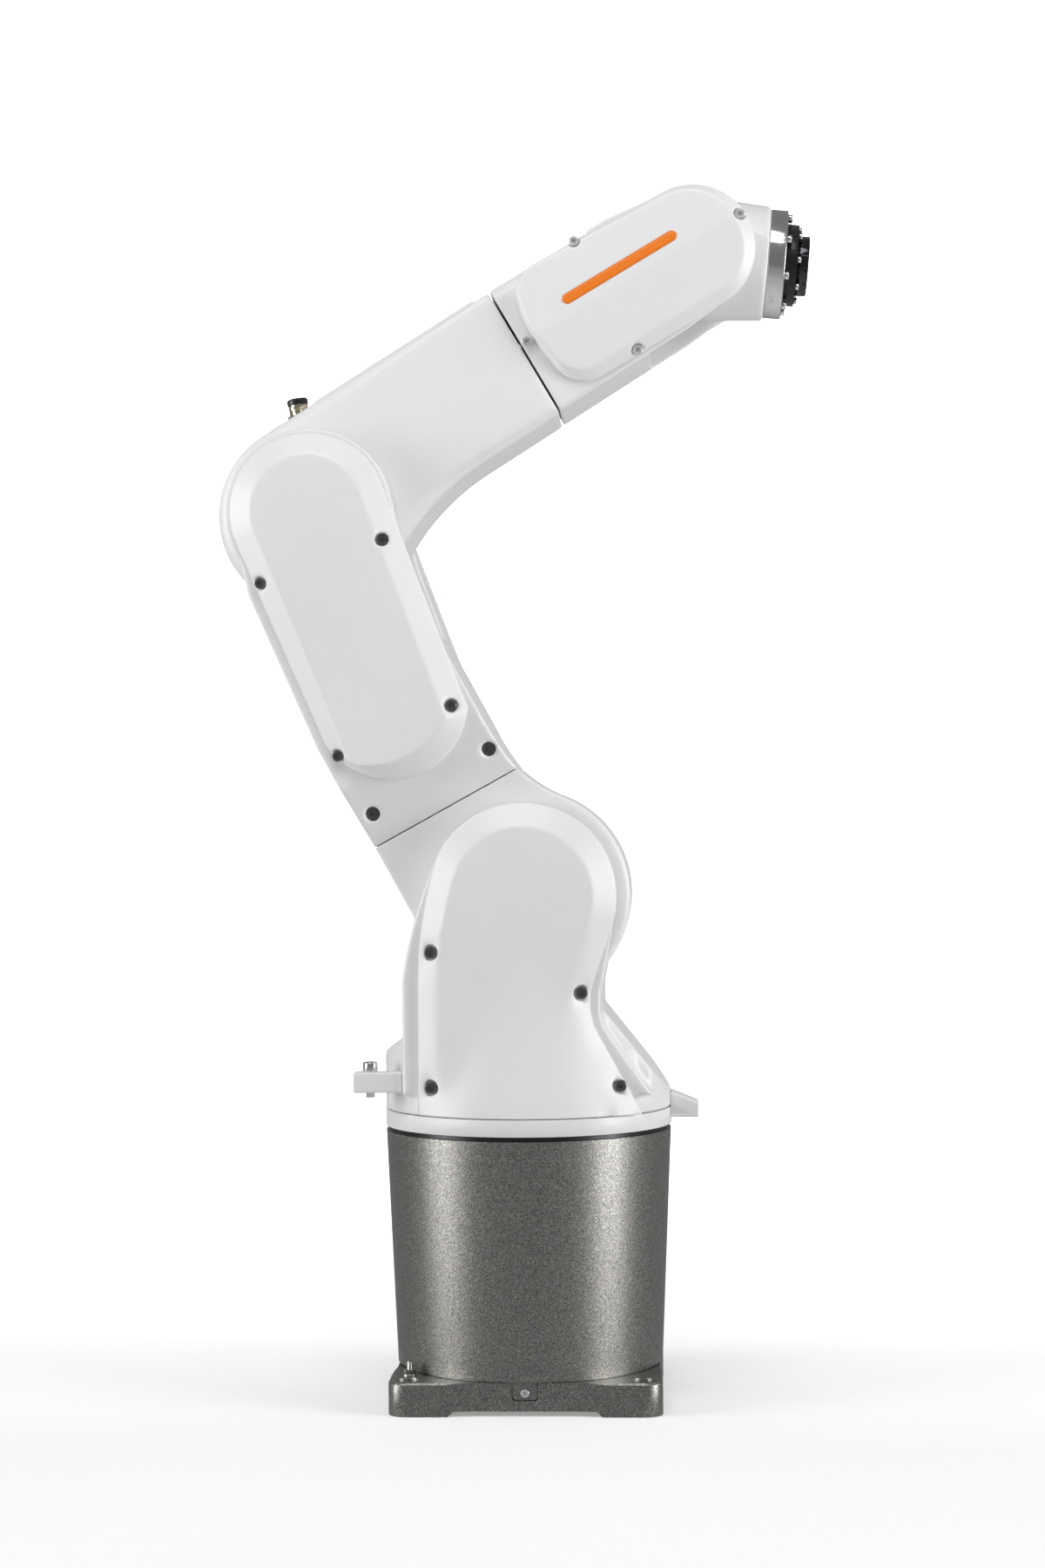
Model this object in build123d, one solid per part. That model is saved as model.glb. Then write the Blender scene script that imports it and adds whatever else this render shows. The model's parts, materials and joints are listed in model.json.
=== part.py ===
from build123d import *
import os
from math import cos, radians, sin

os.makedirs("parts", exist_ok=True)

# Six-axis robot arm, in millimetres and degrees. The origin is the centre of the base plate's
# underside, on the vertical first axis. +Z is up and +X is the side the arm reaches towards.
# Axis 1 turns the column, 2 the lower arm, 3 the forearm, 4 the wrist, 5 the hand, 6 the flange.

# Kinematics and the pose that the arm rests in
SHOULDER_HEIGHT = 336.5
LOWER_ARM_LENGTH = 290.0
FOREARM_LENGTH = 310.0
FOREARM_OFFSET = 20.0
HAND_LENGTH = 75.0
ARM_TILT = 28.7
FOREARM_PITCH = 30.3
HAND_DROP = 5.0

# Depths across the arm, measured from its middle plane
HUB_HALF = 48.0
FORK_GAP = 1.0
CHEEK_OUTER = 66.0
COVER_OUTER = 78.0
COVER_BREAK = 68.0
DRUM_HALF = 47.2
SLOT_HALF = 37.2
HAND_HALF = 36.5
WRIST_HALF = 41.5
WRIST_COVER_HALF = 52.5
WRIST_SCREW_SEAT = 43.9

# Base
PLATE_SIZE = 179.0
PLATE_THICK = 22.0
PLATE_CORNER = 12.0
SIDE_INSET = 2.0
BOLT_SPACING = 154.0
BOLT_AT = BOLT_SPACING / 2
BOLT_HOLE_R = 4.5
CABLE_HOLE_R = 42.0
BASE_LOW_R = 89.4
MOTOR_ROOM_R = 39.9
BASE_TOP_R = 96.2
BASE_TOP = 178.8
RING_R = 96.5
RING_LOW = 182.0
RING_TOP = 193.4
SKIRT_TOP = 206.0
FLARE_TOP = 300.0
SEAM = 0.4

# Round ends about the joints
HUB_R = 71.0
CHEEK_R = 62.0
CHEEK_FLAT_R = 46.0
DRUM_R = 63.5
ELBOW_CHEEK_R = 55.0
ELBOW_COVER_R = 52.0
ELBOW_FLAT_R = 36.5
HAND_SWEEP_R = 75.0

# The fourth axis seam and the wrist, along the forearm
SEAM_X = 176.0
SEAM_GAP = 1.4
TUBE_TOP = 67.2
TUBE_LOW = -26.5
TUBE_HALF = 42.5

# Flange, to ISO 9409-1-31.5-4-M5
FLANGE_R = 20.0
FLANGE_BORE_R = 10.0
FLANGE_PCD = 31.5
FLANGE_TAP_R = 2.1
FLANGE_DOWEL_R = 2.5
RING_FACE = 59.2
DISC_FACE = 67.2

shoulder = Location((0, 0, SHOULDER_HEIGHT), (0, -ARM_TILT, 0))
elbow = shoulder * Location((0, 0, LOWER_ARM_LENGTH), (0, ARM_TILT - FOREARM_PITCH, 0))
wrist = elbow * Location((FOREARM_LENGTH, 0, FOREARM_OFFSET))
hand = wrist * Location((0, 0, 0), (0, FOREARM_PITCH + HAND_DROP, 0))


# ---------------------------------------------------------------- shape helpers
def at_depth(y):
    """Plane whose x and y are the arm's x and z, at depth y."""
    return Plane((0, y, 0), x_dir=(1, 0, 0), z_dir=(0, -1, 0))


def slab(face, y_from, y_to):
    """A side outline made solid between two depths."""
    near, far = min(y_from, y_to), max(y_from, y_to)
    return extrude(at_depth(far) * face, amount=far - near, dir=(0, -1, 0))


def bevelled(outer, inner, y_root, y_break, y_face):
    """A cover on the -Y side: straight from y_root to y_break, then sloping in to its flat at y_face."""
    rim = slab(outer, y_root, y_break)
    slope = loft([at_depth(y_break) * outer, at_depth(y_face) * inner], ruled=True)
    return rim + slope


def pin_y(radius, y_from, y_to, x=0.0, z=0.0):
    length = abs(y_to - y_from)
    return Pos(x, (y_from + y_to) / 2, z) * Rot(90, 0, 0) * Cylinder(radius, length)


def pin_x(radius, x_from, x_to, y=0.0, z=0.0):
    length = abs(x_to - x_from)
    return Pos((x_from + x_to) / 2, y, z) * Rot(0, 90, 0) * Cylinder(radius, length)


def post(radius, z_from, z_to, x=0.0, y=0.0):
    return Pos(x, y, (z_from + z_to) / 2) * Cylinder(radius, abs(z_to - z_from))


def block(x_span, y_span, z_span):
    size = [high - low for low, high in (x_span, y_span, z_span)]
    middle = [(low + high) / 2 for low, high in (x_span, y_span, z_span)]
    return Pos(*middle) * Box(*size)


def far_side(shape):
    return mirror(shape, about=Plane.XZ)


def polar(radius, degrees, centre=(0.0, 0.0)):
    return centre[0] + radius * cos(radians(degrees)), centre[1] + radius * sin(radians(degrees))


def track(centre_a, radius_a, centre_b, radius_b):
    """Outline round two circles."""
    ends = Pos(*centre_a) * Circle(radius_a), Pos(*centre_b) * Circle(radius_b)
    return make_hull([edge for end in ends for edge in end.edges()])


def cap_screw(head_r, head_h, shank_r, shank_length):
    """Socket screw pointing down, its head standing on z = 0."""
    socket = Pos(0, 0, head_h) * extrude(RegularPolygon(head_r * 0.5, 6), amount=-head_h * 0.6)
    head = Pos(0, 0, head_h / 2) * Cylinder(head_r, head_h)
    head = chamfer(head.edges().sort_by(Axis.Z)[-1], head_h * 0.12)
    return head - socket + Pos(0, 0, -shank_length / 2) * Cylinder(shank_r, shank_length)


def facing(point, direction):
    return Plane(origin=point, z_dir=direction).location


def belt_loop(drive, drive_r, driven, driven_r, y_from, y_to, gap, thick):
    """Closed belt round two pulleys, gap clear of them."""
    outside = track(drive, drive_r + gap + thick, driven, driven_r + gap + thick)
    inside = track(drive, drive_r + gap, driven, driven_r + gap)
    return slab(outside, y_from, y_to) - slab(inside, y_from - 1, y_to + 1)


def toothed_pulley(radius, y_from, y_to, bore_r, teeth):
    """Pulley with round-bottomed grooves between its teeth."""
    blank = pin_y(radius, y_from, y_to) - pin_y(bore_r, y_from - 1, y_to + 1)
    grooves = [pin_y(0.6, y_from - 1, y_to + 1, *polar(radius, 360 * i / teeth)) for i in range(teeth)]
    return blank - grooves


# ---------------------------------------------------------------- base
def lug_outline(half_width):
    """Tongue that hangs from the housing's foot over the plate's edge."""
    low = 18.9 - half_width
    outline = Pos(0, (low + 24) / 2) * RectangleRounded(2 * half_width, 24 - low, 2.5)
    return outline & Pos(0, 16) * Rectangle(40, 12.1)


def make_base_plate():
    half = PLATE_SIZE / 2
    pad = 39.0
    plate = extrude(RectangleRounded(PLATE_SIZE, PLATE_SIZE, PLATE_CORNER), amount=PLATE_THICK)
    plate = chamfer(plate.faces().sort_by(Axis.Z)[-1].edges(), 1.2)
    arch = [(pad - half, -1), (pad - half, 0), (pad + 4 - half, 3.5),
            (half - pad - 4, 3.5), (half - pad, 0), (half - pad, -1)]
    relief = slab(make_face(Polyline(*arch, close=True)), -half - 1, half + 1)
    plate -= relief
    plate -= Rot(0, 0, 90) * relief
    waist = [(-53, -half - 1), (-53, -half), (-34, SIDE_INSET - half),
             (34, SIDE_INSET - half), (53, -half), (53, -half - 1)]
    waist = extrude(make_face(Polyline(*waist, close=True)), amount=PLATE_THICK + 1)
    for turn in (0, 90, 180, 270):
        plate -= Rot(0, 0, turn) * waist
    for x in (-BOLT_AT, BOLT_AT):
        for y in (-BOLT_AT, BOLT_AT):
            plate -= post(BOLT_HOLE_R, -1, PLATE_THICK + 1, x, y)
            plate -= post(7.5, PLATE_THICK - 4, PLATE_THICK + 1, x, y)
    plate -= post(CABLE_HOLE_R, -1, PLATE_THICK + 1)
    pocket = slab(lug_outline(8.6), -half - 1, SIDE_INSET - half + 3.6)
    for turn in (0, 90, 180, 270):
        plate -= Rot(0, 0, turn) * pocket
    return plate


def make_base_housing():
    half = PLATE_SIZE / 2
    low, high = Pos(0, 0, PLATE_THICK) * Circle(BASE_LOW_R), Pos(0, 0, BASE_TOP) * Circle(BASE_TOP_R)
    housing = loft([low, high]) - post(MOTOR_ROOM_R, PLATE_THICK - 1, 140) - post(66, 139, BASE_TOP + 1)
    shadow_gap = post(BASE_LOW_R + 5, PLATE_THICK - 1, PLATE_THICK + 0.8)
    housing -= shadow_gap - post(BASE_LOW_R - 1.5, PLATE_THICK - 1, PLATE_THICK + 0.8)
    lug = slab(lug_outline(8), SIDE_INSET - half + 0.3, SIDE_INSET - half + 3.3)
    screw_hole = pin_y(2.2, -half - 1, 6 - half, 0, 15)
    screw_hole += pin_y(3.4, -half - 1, SIDE_INSET - half + 1.8, 0, 15)
    for turn in (0, 90, 180, 270):
        housing += Rot(0, 0, turn) * lug
        housing -= Rot(0, 0, turn) * screw_hole
    return housing


def make_lug_screws():
    half = PLATE_SIZE / 2
    seat = SIDE_INSET - half + 1.8
    screw = facing((0, seat, 15), (0, -1, 0)) * cap_screw(2.9, 1.6, 2.0, 1.6)
    return [Rot(0, 0, turn) * screw for turn in (0, 90, 180, 270)]


def make_ground_stud():
    x, y = -BOLT_AT, 16 - BOLT_AT
    lift = PLATE_THICK
    washer = post(5, lift, lift + 1, x, y)
    nut = Pos(x, y, lift + 1) * extrude(RegularPolygon(4.1, 6), amount=3.2)
    stud = post(2, lift + 4.2, lift + 9, x, y)
    return [washer + nut + stud]


def make_interface():
    """Round panel in the plate's cable hole and the capped sockets in it, which face down."""
    low, high = 13.0, 16.0
    plate = post(CABLE_HOLE_R - 0.1, low, high)
    sockets = []
    for x, y, radius in ((-16, 10, 8.5), (4, 12, 6.5), (20, 8, 5.0), (-14, -11, 5.0), (4, -10, 6.5)):
        plate -= post(radius - 1.4, low - 1, high + 1, x, y)
        sockets.append(post(radius - 1.5, low - 3.5, high, x, y) + post(radius, high, high + 4, x, y))
    return plate, sockets


def make_first_axis():
    """Geared motor of axis 1 under the turntable, and the seal in the gap."""
    gear = post(65.9, 142, 177) - post(40.2, 150, 178) - post(8, 141, 151)
    motor = post(31, 48, 142) - post(8.2, 130, 143) + post(7.8, 129, 149)
    seal = post(93, BASE_TOP, BASE_TOP + 2.6) - post(67, BASE_TOP - 1, BASE_TOP + 4)
    turntable = post(39.9, 150.5, RING_LOW + 1) + post(RING_R, RING_LOW, RING_TOP - SEAM)
    return gear, motor, seal, turntable


# ---------------------------------------------------------------- column
def column_outline(grow, round_r, foot_z):
    """Cheek outline about the shoulder: round top, waisted front edge, upright rear edge."""
    z0 = SHOULDER_HEIGHT
    rear = -69.0 - grow * 1.7
    waist = 44.0 + grow
    left = polar(round_r, 155, (0, z0))
    right = polar(round_r, -16, (0, z0))
    flare = (waist + 34.0, foot_z)
    return make_face([
        Line((rear, foot_z), (rear, z0 - 54)),
        ThreePointArc((rear, z0 - 54), ((rear + left[0]) / 2 - 3.2, z0 - 14), left),
        ThreePointArc(left, (0, z0 + round_r), right),
        Line(right, (waist + 2.5, z0 - 55.5)),
        ThreePointArc((waist + 2.5, z0 - 55.5), (waist, z0 - 71), (waist + 3.5, z0 - 87)),
        Line((waist + 3.5, z0 - 87), flare),
        Line(flare, (rear, foot_z)),
    ])


def make_flare():
    """Round foot of the column, which leans in to the cheeks' flat faces."""
    corner = (RING_R, RING_TOP + 3)
    lean = ((RING_R + COVER_OUTER) / 2 - 3.0, (RING_TOP + FLARE_TOP) / 2)
    face = make_face([
        Line((0, RING_TOP), (RING_R, RING_TOP)),
        Line((RING_R, RING_TOP), corner),
        ThreePointArc(corner, lean, (COVER_OUTER, FLARE_TOP)),
        Line((COVER_OUTER, FLARE_TOP), (0, FLARE_TOP)),
        Line((0, FLARE_TOP), (0, RING_TOP)),
    ])
    return revolve(Plane.XZ * face, axis=Axis.Z)


def make_column():
    """Core under the hub, near cheek wall and near cover."""
    z0 = SHOULDER_HEIGHT
    inner = HUB_HALF + FORK_GAP
    floor = z0 - HUB_R - 3
    drum = post(RING_R, RING_TOP, 300)
    pad = [(-97, RING_TOP), (-97, 231), (-81, 242)]
    rest = [(-81, floor), (51, floor), (96, SKIRT_TOP), (97, RING_TOP)]
    side = make_face(Polyline(*pad, *rest, close=True))
    core = slab(side, -inner, inner) & drum
    step = [(-8, floor - 1), (51.5, floor - 1), (52.5, z0 - 50), (-8, z0 - 50)]
    hub_room = pin_y(HUB_R + 1.3, -inner - 1, inner + 1, 0, z0)
    core += slab(make_face(Polyline(*step, close=True)), -inner, inner) - hub_room
    flare = make_flare()
    foot_top = 236
    foot = flare & slab(side, -CHEEK_OUTER, CHEEK_OUTER) & post(RING_R, RING_TOP, foot_top)
    core = core + foot - post(30, RING_TOP - 1, foot_top)

    wall = slab(column_outline(6.5, CHEEK_R, SKIRT_TOP), -CHEEK_OUTER, -inner)
    pad_face = make_face(Polyline(*pad, (-66, 242), (-66, RING_TOP), close=True))
    wall += slab(pad_face, -CHEEK_OUTER, -inner) & drum
    wall -= foot
    wall -= pin_y(32.2, -CHEEK_OUTER - 1, -inner + 1, 0, z0)

    outline = column_outline(0, CHEEK_R, RING_TOP)
    cover = bevelled(outline, column_inner(), -CHEEK_OUTER, -COVER_BREAK, -COVER_OUTER)
    cover += flare & slab(outline, -RING_R - 1, -CHEEK_OUTER)
    for x, z in COLUMN_SCREWS:
        tapped = pin_y(2.1, -CHEEK_OUTER - 1, -inner - 3, x, z)
        wall -= tapped
        core -= [tapped, far_side(tapped)]
        cover -= pin_y(5.4, -COVER_BREAK - 0.6, -99, x, z)
        cover -= pin_y(2.3, -CHEEK_OUTER + 1, -99, x, z)
    return core, wall, cover


def column_inner():
    """Flat face of the cheek cover."""
    z0 = SHOULDER_HEIGHT
    left = polar(CHEEK_FLAT_R, 155, (0, z0))
    right = polar(CHEEK_FLAT_R, -19, (0, z0))
    return make_face([
        Line((-53.5, RING_TOP), (-53.5, z0 - 50)),
        ThreePointArc((-53.5, z0 - 50), (-51.0, z0 - 16), left),
        ThreePointArc(left, (0, z0 + CHEEK_FLAT_R), right),
        Line(right, (31.0, z0 - 58)),
        ThreePointArc((31.0, z0 - 58), (28.3, z0 - 73), (31.5, z0 - 93)),
        Line((31.5, z0 - 93), (62.0, RING_TOP)),
        Line((62.0, RING_TOP), (-53.5, RING_TOP)),
    ])


COLUMN_SCREWS = [(-60.5, 300.5), (38.5, 273.5), (-61.0, 212.0), (63.5, 213.0)]


def make_column_screws():
    screws = []
    for x, z in COLUMN_SCREWS:
        low = z < 240
        seat = -COVER_BREAK - 0.6
        screw = facing((x, seat, z), (0, -1, 0)) * cap_screw(3.9, 3.6 if low else 2.6, 2.0, 8)
        screws += [screw, far_side(screw)]
    return screws


def make_stops():
    """Lugs on the column's foot that limit axis 1, with the calibration screw in the rear one."""
    clear_of_column = post(RING_R + 0.05, 180, 230)
    x, y, top = -102, -55, 221.4
    rear = block((-113, -80.3), (y - 7, y + 7), (top - 13.8, top)) - post(3.1, top - 20, top + 1, x, y)
    front_face = make_face(Polyline((94, 186), (115, 186), (115, 196), (98, 203), (94, 203), close=True))
    front = slab(front_face, -12, 12)
    screw = Pos(x, y, top) * cap_screw(4.9, 6.5, 3.0, 17)
    return [rear - clear_of_column, front - clear_of_column], screw


def make_shoulder_drive():
    """Motor fixed in the far cheek, and the bearing in the near one."""
    z0 = SHOULDER_HEIGHT
    motor = pin_y(31.5, -22, CHEEK_OUTER, 0, z0)
    motor += pin_y(32.1, HUB_HALF + FORK_GAP + 0.2, CHEEK_OUTER, 0, z0)
    bearing = pin_y(32.1, -50, -62, 0, z0) - pin_y(20.08, -49, -63, 0, z0)
    return motor, bearing


# ---------------------------------------------------------------- lower arm, upright from the shoulder
ARM_BACK = -71.0
ARM_FRONT = 34.5
HUB_SEAM = 76.0
COVER_FOOT = (-17.5, 151.0)
COVER_FOOT_R = 48.0
ARM_COVER_SCREWS = [(-50.4, 263.5), (33.8, 249.0), (-61.0, 139.5), (20.5, 132.0)]
LINK_SCREWS = [(-60.5, 96.0), (27.5, 96.0)]
A3_MOTOR = (-16.0, 158.0)


def make_lower_hub():
    body_face = make_face([
        Line((ARM_BACK, 0), (ARM_BACK, HUB_SEAM - 0.25)),
        Line((ARM_BACK, HUB_SEAM - 0.25), (37.5, HUB_SEAM - 0.25)),
        ThreePointArc((37.5, HUB_SEAM - 0.25), (43.5, 61.7), (56.5, 43)),
        Line((56.5, 43), (0, 0)),
        Line((0, 0), (ARM_BACK, 0)),
    ])
    hub = pin_y(HUB_R, -HUB_HALF, HUB_HALF)
    hub = chamfer(hub.edges().filter_by(GeomType.CIRCLE), 2.5)
    hub += slab(body_face, -HUB_HALF, HUB_HALF)
    hub -= pin_y(52, 23.8, HUB_HALF + 1)
    hub -= pin_y(32.1, -24, 25)
    hub += pin_y(20, -HUB_HALF - 14, -HUB_HALF + 1)
    gear = pin_y(51.9, 24, HUB_HALF - 1) - pin_y(32.1, 23, HUB_HALF + 1)
    return hub, gear


def make_lower_link():
    """Casting between the hub and the elbow's two cheeks, cut away under the forearm's whole sweep."""
    core_face = make_face([
        Polyline((37.5, HUB_SEAM + 0.25), (ARM_BACK, HUB_SEAM + 0.25), (ARM_BACK, 150), (-69.5, 176),
                 (-45, 188.5), (-20, 198), (8, 199), (ARM_FRONT, 181), (ARM_FRONT, 105)),
        ThreePointArc((ARM_FRONT, 105), (35.3, 90), (37.5, HUB_SEAM + 0.25)),
    ])
    core = slab(core_face, -HUB_HALF, HUB_HALF)
    return core - pin_y(30.2, -HUB_HALF - 1, 32, *A3_MOTOR)


def cheek_outline():
    top = LOWER_ARM_LENGTH
    left = polar(ELBOW_CHEEK_R, 186, (0, top))
    right = polar(ELBOW_CHEEK_R, -12, (0, top))
    return make_face([
        Line((ARM_BACK, HUB_SEAM + 0.25), (ARM_BACK, 150)),
        Line((ARM_BACK, 150), (-61.5, 262)),
        Line((-61.5, 262), left),
        ThreePointArc(left, (0, top + ELBOW_CHEEK_R), right),
        Line(right, (42, 235)),
        Line((42, 235), (ARM_FRONT, 185)),
        Line((ARM_FRONT, 185), (ARM_FRONT, 105)),
        ThreePointArc((ARM_FRONT, 105), (35.3, 90), (37.5, HUB_SEAM + 0.25)),
        Line((37.5, HUB_SEAM + 0.25), (ARM_BACK, HUB_SEAM + 0.25)),
    ])


def ramp(half_low, half_high, z_low, z_high):
    """Prism that trims a cheek's foot back to the hub's face."""
    face = Polyline((-99, z_low - 60), (-half_low, z_low - 60), (-half_low, z_low), (-half_high, z_high),
                    (-99, z_high), close=True)
    return extrude(Plane.YZ * make_face(face), amount=99, both=True)


def make_elbow_cheek():
    top = LOWER_ARM_LENGTH
    cheek = slab(cheek_outline(), -CHEEK_OUTER, -HUB_HALF)
    cheek -= ramp(HUB_HALF + 0.4, CHEEK_OUTER, HUB_SEAM, 118)
    relief = block((-80, 60), (-HUB_HALF - 0.4, -HUB_HALF + 1), (182, 360))
    cheek -= relief
    cheek -= pin_y(22.2, -CHEEK_OUTER - 1, -HUB_HALF + 1, 0, top)
    cheek -= pin_y(20, -CHEEK_OUTER - 1, -HUB_HALF + 1, *A3_MOTOR)
    for x, z in ARM_COVER_SCREWS:
        cheek -= pin_y(2.1, -CHEEK_OUTER - 1, -HUB_HALF - 4, x, z)
    for x, z in LINK_SCREWS:
        cheek -= pin_y(4.8, -CHEEK_OUTER - 1, -HUB_HALF - 1.5, x, z)
        cheek -= pin_y(2.0, -CHEEK_OUTER - 1, -HUB_HALF + 1, x, z)
    return cheek


def elbow_flat():
    """Flat face of the oval cover: round over the elbow, straight sides, shallow curved foot."""
    top = LOWER_ARM_LENGTH
    left = polar(ELBOW_FLAT_R, 172, (0, top))
    right = polar(ELBOW_FLAT_R, -8, (0, top))
    return make_face([
        Line((-55.0, 129), left),
        ThreePointArc(left, (0, top + ELBOW_FLAT_R), right),
        Line(right, (13.0, 126)),
        ThreePointArc((13.0, 126), (-23, 117), (-55.0, 129)),
    ])


def elbow_outer():
    top = LOWER_ARM_LENGTH
    left = polar(ELBOW_COVER_R, 172, (0, top))
    right = polar(ELBOW_COVER_R, -8, (0, top))
    foot_left = (-64.5, 150)
    foot_right = (29.5, 125.5)
    return make_face([
        Line(foot_left, left),
        ThreePointArc(left, (0, top + ELBOW_COVER_R), right),
        Line(right, foot_right),
        ThreePointArc(foot_right, (-20, 103.5), foot_left),
    ])


def make_elbow_cover():
    """The covers' common shape; the belt side is hollowed by elbow_belt_room."""
    cover = bevelled(elbow_outer(), elbow_flat(), -CHEEK_OUTER, -COVER_BREAK, -COVER_OUTER)
    for x, z in ARM_COVER_SCREWS:
        cover -= pin_y(4.6, -COVER_BREAK - 0.4, -99, x, z)
        cover -= pin_y(2.3, -CHEEK_OUTER + 1, -99, x, z)
    foot_gap = ramp(HUB_HALF + 0.4, CHEEK_OUTER, HUB_SEAM, 118)
    toe = slab(elbow_outer(), -CHEEK_OUTER, -HUB_HALF - 8)
    toe &= block((-70, 40), (-80, -50), (100, 118)) & foot_gap
    return cover + toe


def elbow_belt_room():
    loop = track((0, LOWER_ARM_LENGTH), 34.2, A3_MOTOR, 19.2)
    return slab(loop, -CHEEK_OUTER + 1, -COVER_OUTER + 2.5)


def make_arm_screws():
    screws = []
    rows = (ARM_COVER_SCREWS, -COVER_BREAK - 0.4, 3.4), (LINK_SCREWS, -HUB_HALF - 1.5, 4.2)
    for spots, seat, head_r in rows:
        depth = 8 if seat < -CHEEK_OUTER else 1.4
        for x, z in spots:
            screw = facing((x, seat, z), (0, -1, 0)) * cap_screw(head_r, 2.8, 1.95, depth)
            screws += [screw, far_side(screw)]
    return screws


def make_elbow_drive():
    top = (0.0, LOWER_ARM_LENGTH)
    motor = pin_y(30, -HUB_HALF, 30, *A3_MOTOR) + pin_y(5, -HUB_HALF - 24, -HUB_HALF + 1, *A3_MOTOR)
    small = toothed_pulley(15, -73.5, -67.5, 5.05, 24)
    small = Pos(A3_MOTOR[0], 0, A3_MOTOR[1]) * small
    belt = belt_loop(A3_MOTOR, 15, top, 30, -73, -68, 0.4, 1.6)
    bearing = pin_y(22.1, -50, -64, *top) - pin_y(14.08, -49, -65, *top)
    far_bearing = far_side(bearing)
    return motor, small, belt, [bearing, far_bearing]


# ---------------------------------------------------------------- forearm, built level from the elbow
STRIP_LOW = 61.5
CONNECTOR_BOSS = 2.9
CONNECTOR_LEAN = 21
CONNECTOR = Location((23, 0, 62.6), (0, CONNECTOR_LEAN, 0))


def make_forearm():
    leave = polar(DRUM_R, -58)
    crown = polar(DRUM_R, 92)
    face = make_face([
        Line((SEAM_X, TUBE_LOW), (SEAM_X, TUBE_TOP)),
        Line((SEAM_X, TUBE_TOP), crown),
        ThreePointArc(crown, (-DRUM_R, 0), leave),
        ThreePointArc(leave, (64, -38.5), (112, -28.5)),
        Line((112, -28.5), (SEAM_X, TUBE_LOW)),
    ])
    body = slab(face, -DRUM_HALF, DRUM_HALF)
    rims = body.faces().sort_by(Axis.Y)
    body = fillet(rims[0].edges().filter_by(lambda e: e.center().X < SEAM_X - 1)
                  + rims[-1].edges().filter_by(lambda e: e.center().X < SEAM_X - 1), 12)
    body -= pin_y(45, 25.8, DRUM_HALF + 1)
    body -= pin_y(14, -DRUM_HALF - 1, -20)
    tube_z = FOREARM_OFFSET
    body -= pin_x(34, 55, SEAM_X + 1, 0, tube_z)
    body -= block((2, 165), (-31, 31), (STRIP_LOW, 80))
    body -= CONNECTOR * post(4.5, -6, 0)
    for side in (-1, 1):
        taper = [(60, side * DRUM_HALF), (SEAM_X + 1, side * TUBE_HALF),
                 (SEAM_X + 1, side * 60), (60, side * 60)]
        body -= extrude(make_face(Polyline(*taper, close=True)), amount=200, both=True)
    return body


def make_forearm_strip():
    """Long cover let into the top of the forearm, with the slanted boss of the service connector."""
    low = STRIP_LOW
    face = make_face(Polyline((2, low), (165, low), (165, 69.4), (158, 69.4), (40, 66.3), (36, 62.6),
                              (13, 62.6), (12, 65.2), (2, 64.4), close=True))
    strip = slab(face, -31, 31)
    boss = CONNECTOR * post(9.2, -4, CONNECTOR_BOSS) & block((5, 45), (-20, 20), (low + 0.5, 80))
    return strip + boss - CONNECTOR * post(4.5, -6, 9)


def make_service_connector():
    """Round plug connector that leans forward: hexagon nut on the boss, grooved sleeve and cap."""
    body = post(4.4, -3.5, 3.5) + post(6.6, 5, 13.4)
    body -= post(8, 9.4, 10.0) - post(6.0, 9.4, 10.0)
    nut = Pos(0, 0, CONNECTOR_BOSS) * extrude(RegularPolygon(8.2, 6), amount=3.4)
    cap = post(7.1, 13.4, 17.6)
    cap = fillet(cap.edges().sort_by(Axis.Z)[-1], 1.5)
    return CONNECTOR * (body + nut), CONNECTOR * cap


def make_fourth_axis():
    """Motor in the forearm tube, its gear behind the seam, and the wrist's shaft through the gear."""
    z0 = FOREARM_OFFSET
    gear = pin_x(33.9, SEAM_X - 16, SEAM_X, 0, z0) - pin_x(20.08, SEAM_X - 17, SEAM_X + 1, 0, z0)
    motor = pin_x(26, 78, 148, 0, z0) + pin_x(33.9, 148, 152, 0, z0) + pin_x(6, 152, 158, 0, z0)
    shaft = pin_x(20, SEAM_X - 16, SEAM_X + SEAM_GAP, 0, z0)
    return gear, motor, shaft


# ---------------------------------------------------------------- wrist, built level from the fifth axis
WRIST_BACK = SEAM_X + SEAM_GAP - FOREARM_LENGTH
WRIST_TOP = 48.5
WRIST_LOW = -45.5
COVER_MIDDLE = (-3.0, 1.5)
WRIST_ROUND_R = 42.0
WRIST_SCREWS = [(35.0, 4.0), (-68.0, 45.5), (-128.5, 4.5), (-68.5, -38.4)]
A5_MOTOR = (-96.0, 3.0)


def wrist_side():
    top = polar(WRIST_ROUND_R - 1, 80, COVER_MIDDLE)
    low = polar(WRIST_ROUND_R - 1, -88, COVER_MIDDLE)
    return make_face([
        Line((WRIST_BACK, WRIST_LOW), (WRIST_BACK, WRIST_TOP)),
        Line((WRIST_BACK, WRIST_TOP), (-42, WRIST_TOP)),
        Line((-42, WRIST_TOP), top),
        ThreePointArc(top, polar(WRIST_ROUND_R - 1, 0, COVER_MIDDLE), low),
        Line(low, (-30, -42.5)),
        Line((-30, -42.5), (WRIST_BACK, WRIST_LOW)),
    ])


def make_wrist_housing():
    """Closed rear part of the wrist; its front is hollowed round the hand's sweep."""
    body = slab(wrist_side(), -WRIST_HALF, WRIST_HALF) & block((WRIST_BACK, -40), (-60, 60), (-60, 60))
    body = fillet(body.edges().filter_by(Axis.X).filter_by(lambda e: abs(e.center().Y) > 40), 12)
    body -= pin_y(HAND_SWEEP_R, -60, 60)
    body -= pin_y(21.2, -WRIST_HALF - 1, 34, *A5_MOTOR)
    return body


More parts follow.
